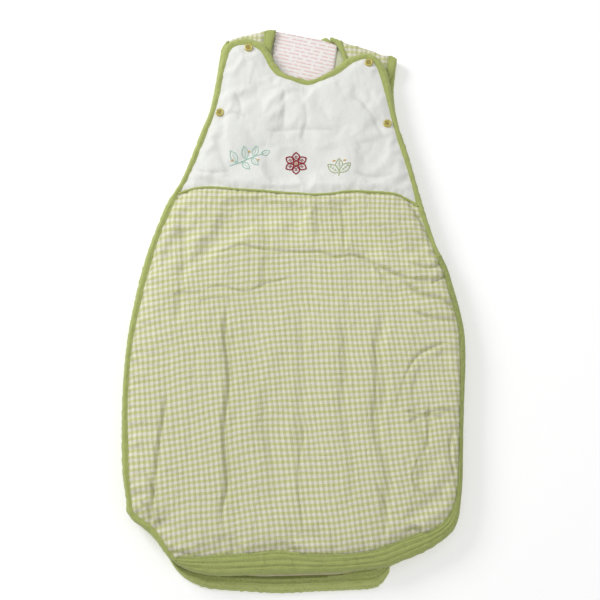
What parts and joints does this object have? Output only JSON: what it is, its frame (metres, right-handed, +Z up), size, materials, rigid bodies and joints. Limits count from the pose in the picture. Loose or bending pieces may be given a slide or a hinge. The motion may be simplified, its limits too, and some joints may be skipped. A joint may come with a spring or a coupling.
{
  "type": "baby sleeping bag",
  "caption": "Flat-lying padded sleeveless sleeping bag with rounded shoulder tabs, press fasteners, bound edges and a zip round the foot end and one side.",
  "frame": {"origin": "centre of the bounding box at the underside, where the bag rests", "axes": "+X across the bag, +Y towards the head end, +Z up through its thickness as it lies on its back"},
  "size_m": [0.4082, 0.7154, 0.0272],
  "materials": {
    "gingham_cotton": "green and white woven check",
    "white_cotton": "plain woven",
    "lining_cotton": "plain woven",
    "wadding": "polyester wadding",
    "green_binding": "bias tape",
    "green_band": "plain woven",
    "green_band_shade": "plain woven",
    "zip_tape": "woven tape",
    "zip_coil": "nylon coil",
    "zip_metal": "enamelled",
    "popper_resin": "translucent resin",
    "label_satin": "satin ribbon",
    "thread_mint": "embroidery thread",
    "thread_red": "embroidery thread",
    "thread_sage": "embroidery thread"
  },
  "bodies": {
    "back": {"back_armhole_binding_left": "green_binding", "back_armhole_binding_right": "green_binding", "back_lining": "lining_cotton", "back_neck_binding": "green_binding", "back_outer_panel": "gingham_cotton", "back_wadding": "wadding", "care_label": "label_satin", "front_side_margin": "gingham_cotton", "left_side_binding": "green_binding", "shoulder_stud_left": "popper_resin", "shoulder_stud_right": "popper_resin", "strap_binding_left": "green_binding", "strap_binding_right": "green_binding", "strap_left": "gingham_cotton", "strap_right": "gingham_cotton", "underarm_stud_left": "popper_resin", "underarm_stud_right": "popper_resin", "zip_band_back": "green_band_shade", "zip_coil_back": "zip_coil", "zip_end_stop": "zip_metal", "zip_tape_back": "zip_tape", "zip_top_stop_back": "zip_metal"},
    "front": {"embroidery_flower": "thread_red", "embroidery_leaf": "thread_sage", "embroidery_sprig": "thread_mint", "front_armhole_binding_left": "green_binding", "front_armhole_binding_right": "green_binding", "front_lining": "lining_cotton", "front_neck_binding": "green_binding", "front_outer_panel": "gingham_cotton", "front_wadding": "wadding", "underarm_cap_left": "popper_resin", "underarm_cap_right": "popper_resin", "yoke_panel": "white_cotton", "yoke_piping": "green_binding", "zip_band_front": "green_band", "zip_coil_front": "zip_coil", "zip_tape_front": "zip_tape", "zip_top_stop_front": "zip_metal"},
    "tab_left": {"tab_binding_left": "green_binding", "tab_lining_left": "lining_cotton", "tab_outer_left": "white_cotton", "tab_wadding_left": "wadding", "shoulder_cap_left": "popper_resin"},
    "tab_right": {"tab_binding_right": "green_binding", "tab_lining_right": "lining_cotton", "tab_outer_right": "white_cotton", "tab_wadding_right": "wadding", "shoulder_cap_right": "popper_resin"},
    "slider": {"zip_slider": "zip_metal"},
    "puller": {"zip_puller": "zip_metal"}
  },
  "joints": [
    {"name": "front_fold", "type": "hinge", "parent": "back", "child": "front", "pos_m": [-0.1199, 0.004, 0.025], "axis": [-0.0371, -0.9993, 0], "range_deg": [0, 150]},
    {"name": "tab_left_lift", "type": "hinge", "parent": "front", "child": "tab_left", "pos_m": [-0.06285, 0.2781, 0.025], "axis": [0.9251, 0.3798, 0], "range_deg": [0, 160]},
    {"name": "tab_right_lift", "type": "hinge", "parent": "front", "child": "tab_right", "pos_m": [0.08435, 0.2756, 0.025], "axis": [0.9381, -0.3463, 0], "range_deg": [0, 160]},
    {"name": "zip_slide", "type": "slide", "parent": "back", "child": "slider", "axis": [0.9996, 0.0277, 0], "range_m": [0, 0.105]},
    {"name": "puller_swing", "type": "hinge", "parent": "slider", "child": "puller", "pos_m": [-0.07162, -0.33777, 0.0115], "axis": [0, 0, -1], "range_deg": [0, 170]}
  ]
}
